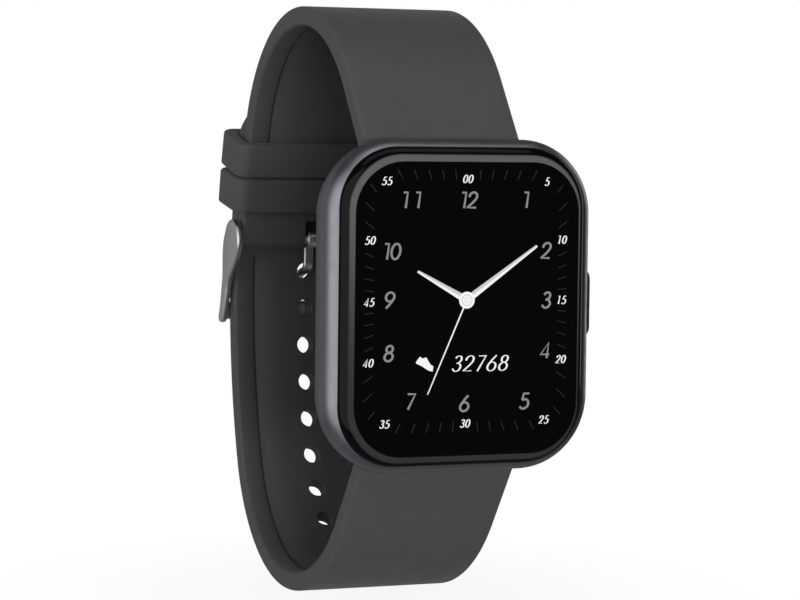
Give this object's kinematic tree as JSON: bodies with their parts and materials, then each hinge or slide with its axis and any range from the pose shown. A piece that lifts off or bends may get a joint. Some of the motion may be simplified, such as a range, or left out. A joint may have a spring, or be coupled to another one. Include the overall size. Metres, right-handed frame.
{
  "type": "smartwatch",
  "caption": "Square-faced wrist watch with a touch screen, metal case, side button and soft strap buckled into a loop.",
  "frame": {"origin": "centre of the space for the wrist inside the buckled strap, level with the middle of the case", "axes": "+Z towards twelve o'clock, +X towards three o'clock (the button side), +Y towards the wrist and buckle, so the screen faces -Y"},
  "size_m": [0.0382, 0.065, 0.0807],
  "materials": {
    "anodised_case": "satin anodised graphite",
    "anodised_button": "satin anodised graphite",
    "cover_glass": "polished",
    "display": "gloss",
    "black_adhesive": "matt",
    "polyimide": "satin",
    "tray_plastic": "matt",
    "board": "satin",
    "tin_steel": "bright",
    "chip_black": "matt",
    "battery_foil": "satin foil",
    "foam": "matt",
    "steel": "satin",
    "spring_steel": "bright",
    "tungsten": "satin",
    "seal_rubber": "matt",
    "back_plastic": "fine matt",
    "window_glass": "polished",
    "led": "gloss",
    "gold_contact": "polished",
    "magnet": "plated",
    "silicone": "soft matt",
    "buckle_steel": "brushed with polished edges"
  },
  "bodies": {
    "watch": {"antenna_flex": "polyimide", "back_cover": "back_plastic", "back_screws": "steel", "back_seal": "seal_rubber", "battery_cell": "battery_foil", "battery_pad": "foam", "board_chips": "chip_black", "board_connector": "chip_black", "buckle_pin": "steel", "button_switch": "chip_black", "case_frame": "anodised_case", "charging_magnets": "magnet", "charging_pins": "gold_contact", "cover_glass": "cover_glass", "display_flex": "polyimide", "display_panel": "display", "fixed_keeper": "silicone", "glass_gasket": "black_adhesive", "inner_tray": "tray_plastic", "light_baffle": "tray_plastic", "lower_band": "silicone", "lower_bar_spring": "spring_steel", "lower_bar_tube": "steel", "lower_fixed_tip": "steel", "main_board": "board", "motor_can": "tin_steel", "motor_cover": "tin_steel", "motor_shaft": "steel", "photodiodes": "chip_black", "sensor_board": "board", "sensor_leds": "led", "sensor_window": "window_glass", "shield_can": "tin_steel", "switch_flex": "polyimide", "upper_band": "silicone", "upper_bar_spring": "spring_steel", "upper_bar_tube": "steel", "upper_fixed_tip": "steel"},
    "button": {"button_cap": "anodised_button", "button_seal": "seal_rubber", "button_clip": "steel", "switch_plunger": "tray_plastic"},
    "upper_tip": {"upper_sliding_tip": "steel"},
    "lower_tip": {"lower_sliding_tip": "steel"},
    "buckle": {"buckle_frame": "buckle_steel"},
    "tang": {"buckle_tang": "buckle_steel"},
    "keeper": {"free_keeper": "silicone"},
    "rotor": {"motor_rotor": "tungsten"}
  },
  "joints": [
    {"name": "side_button_press", "type": "slide", "parent": "watch", "child": "button", "axis": [-1, 0, 0], "range_m": [0, 0.00035], "stiffness_N_per_m": 3000},
    {"name": "upper_quick_release", "type": "slide", "parent": "watch", "child": "upper_tip", "axis": [1, 0, 0], "range_m": [0, 0.0012], "stiffness_N_per_m": 600, "deforming": ["upper_bar_spring"]},
    {"name": "lower_quick_release", "type": "slide", "parent": "watch", "child": "lower_tip", "axis": [1, 0, 0], "range_m": [0, 0.0012], "stiffness_N_per_m": 600, "deforming": ["lower_bar_spring"]},
    {"name": "buckle_swing", "type": "hinge", "parent": "watch", "child": "buckle", "pos_m": [0, 0.0238, 0.0063], "axis": [1, 0, 0], "range_deg": [0, 3]},
    {"name": "tang_swing", "type": "hinge", "parent": "buckle", "child": "tang", "pos_m": [0, 0.0238, 0.0063], "axis": [1, 0, 0], "range_deg": [0, 2.5]},
    {"name": "free_keeper_slide", "type": "hinge", "parent": "watch", "child": "keeper", "pos_m": [0, -0.0518, -0.001], "axis": [1, 0, 0], "range_deg": [0, 2.5]},
    {"name": "motor_spin", "type": "hinge", "parent": "watch", "child": "rotor", "pos_m": [0.0099, -0.0285, -0.0075], "axis": [0, 1, 0], "continuous": true}
  ]
}
